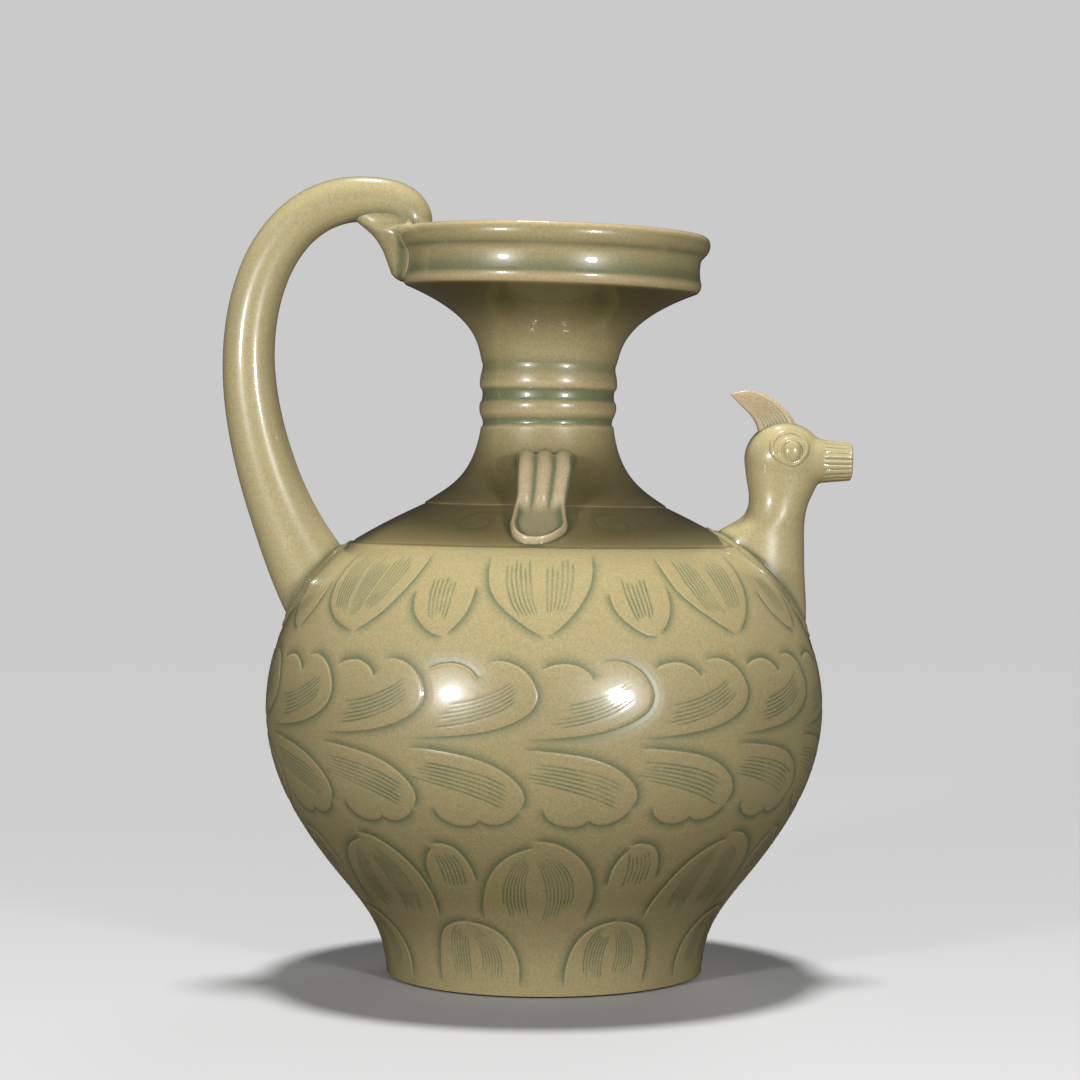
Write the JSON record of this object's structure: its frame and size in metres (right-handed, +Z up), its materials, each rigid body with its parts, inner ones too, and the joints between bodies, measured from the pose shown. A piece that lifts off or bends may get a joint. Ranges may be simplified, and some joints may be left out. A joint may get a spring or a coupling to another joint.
{
  "type": "chicken-head ewer",
  "caption": "Celadon ewer with a round carved belly, ribbed neck, dish mouth, arched handle, bird-head spout and coiled lugs.",
  "frame": {"origin": "centre of the foot's flat underside", "axes": "+Z up, +X from the vessel's axis towards the bird-head spout, -X towards the handle, lugs on -Y and +Y"},
  "size_m": [0.2292, 0.2022, 0.2892],
  "materials": {
    "body_glaze": "glossy sage celadon glaze",
    "pale_glaze": "glossy pale olive celadon glaze",
    "thin_glaze": "thin glaze over a pinkish-tan clay body"
  },
  "bodies": {
    "root": {"lower_body": "body_glaze", "upper_body": "body_glaze", "neck": "body_glaze", "dish_mouth": "body_glaze", "handle": "pale_glaze", "handle_clasp": "pale_glaze", "handle_root_coil": "pale_glaze", "spout_neck": "pale_glaze", "spout_head": "pale_glaze", "spout_beak": "pale_glaze", "spout_crest": "thin_glaze", "spout_root_coil": "thin_glaze", "spout_eye_front": "pale_glaze", "spout_eye_ring_front": "pale_glaze", "spout_eye_back": "pale_glaze", "spout_eye_ring_back": "pale_glaze", "lug_front_coil_left": "thin_glaze", "lug_front_coil_middle": "thin_glaze", "lug_front_coil_right": "thin_glaze", "lug_front_pad": "thin_glaze", "lug_back_coil_left": "thin_glaze", "lug_back_coil_middle": "thin_glaze", "lug_back_coil_right": "thin_glaze", "lug_back_pad": "thin_glaze"}
  },
  "joints": []
}
